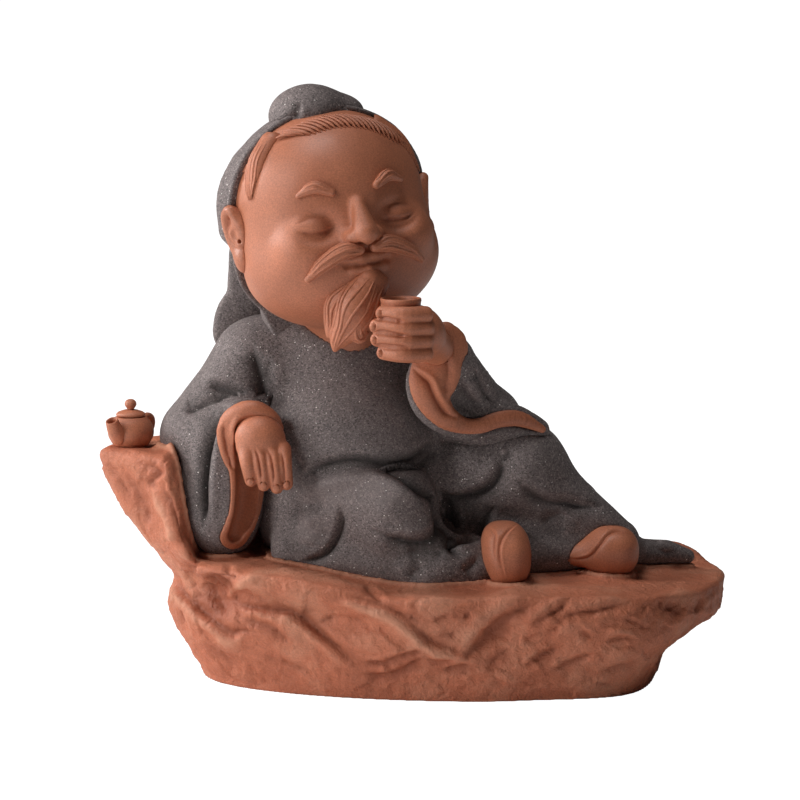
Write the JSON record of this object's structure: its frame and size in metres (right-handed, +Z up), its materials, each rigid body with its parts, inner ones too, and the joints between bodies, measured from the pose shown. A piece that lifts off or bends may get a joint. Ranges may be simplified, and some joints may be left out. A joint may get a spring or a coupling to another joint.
{
  "type": "clay tea pet",
  "caption": "Small fired clay ornament: a stout bearded scholar in a dark robe reclines on a red rock with a raised tea cup, and a miniature teapot stands on the horn.",
  "frame": {"origin": "centre of the rock's flat foot, on the surface it rests on", "axes": "+Z up, +X along the rock from the raised horn to the low end, +Y from the figure's front to its back"},
  "size_m": [0.1518, 0.0822, 0.1417],
  "materials": {
    "rock_clay": "unglazed chiselled red-brown clay, matte",
    "red_clay": "unglazed smooth red-brown clay, matte with a fine grain",
    "sand_clay": "unglazed dark grey sand clay with sparse bright grains"
  },
  "bodies": {
    "root": {"rock_base": "rock_clay", "robe_body": "sand_clay", "robe_skirt": "sand_clay", "right_sleeve": "sand_clay", "left_sleeve": "sand_clay", "head_scarf": "sand_clay", "topknot_wrap": "sand_clay", "scarf_drape": "sand_clay", "teapot_body": "red_clay", "teapot_lid": "red_clay", "teapot_knob": "red_clay", "teapot_spout": "red_clay", "teapot_handle": "red_clay", "right_sleeve_lining": "red_clay", "right_hand": "red_clay", "left_sleeve_lining": "red_clay", "left_hand": "red_clay", "tea_cup": "red_clay", "head": "red_clay", "right_ear": "red_clay", "left_ear": "red_clay", "beard": "red_clay", "moustache_right": "red_clay", "moustache_left": "red_clay", "eyebrow_right": "red_clay", "eyebrow_left": "red_clay", "hair_fringe": "red_clay", "right_sideburn": "red_clay", "left_sideburn": "red_clay", "right_shoe": "red_clay", "left_shoe": "red_clay"}
  },
  "joints": []
}
